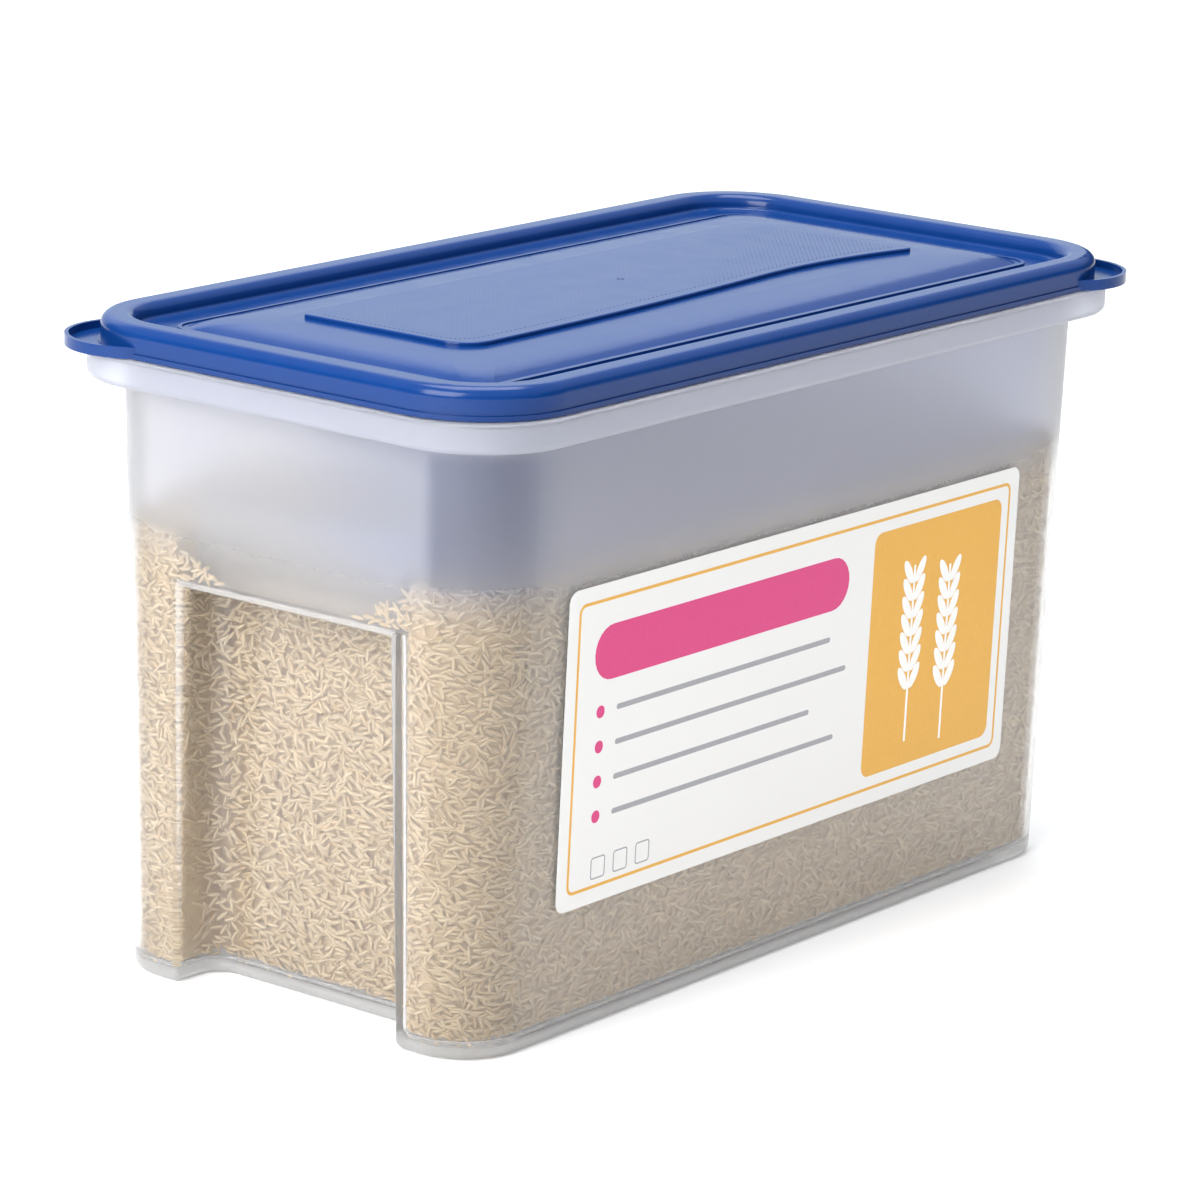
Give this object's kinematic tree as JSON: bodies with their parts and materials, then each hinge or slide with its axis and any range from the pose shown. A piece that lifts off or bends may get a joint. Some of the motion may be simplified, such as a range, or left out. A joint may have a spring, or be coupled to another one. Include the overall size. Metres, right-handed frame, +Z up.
{
  "type": "food storage container",
  "caption": "Deep rectangular translucent food storage tub with a grip recess in each end, a flanged rim, a label panel and a press-on lid with corner pull tabs.",
  "frame": {"origin": "middle of the foot, on the plane that it stands on", "axes": "+X along the length, -Y towards the labelled wall, +Z up through the lid"},
  "size_m": [0.442, 0.2314, 0.265],
  "materials": {
    "frosted_plastic": "translucent moulded polypropylene, clear at the corners and frosted on the flat walls",
    "lid_plastic": "glossy moulded royal blue with a fine hatched panel",
    "seal_rubber": "soft pale ring",
    "label_film": "white printed film with amber and pink blocks"
  },
  "bodies": {
    "container": {"tub": "frosted_plastic", "label": "label_film"},
    "lid": {"lid": "lid_plastic", "lid_seal": "seal_rubber"}
  },
  "joints": [
    {"name": "lid_lift", "type": "slide", "parent": "container", "child": "lid", "axis": [0, 0, 1], "range_m": [0, 0.3]}
  ]
}
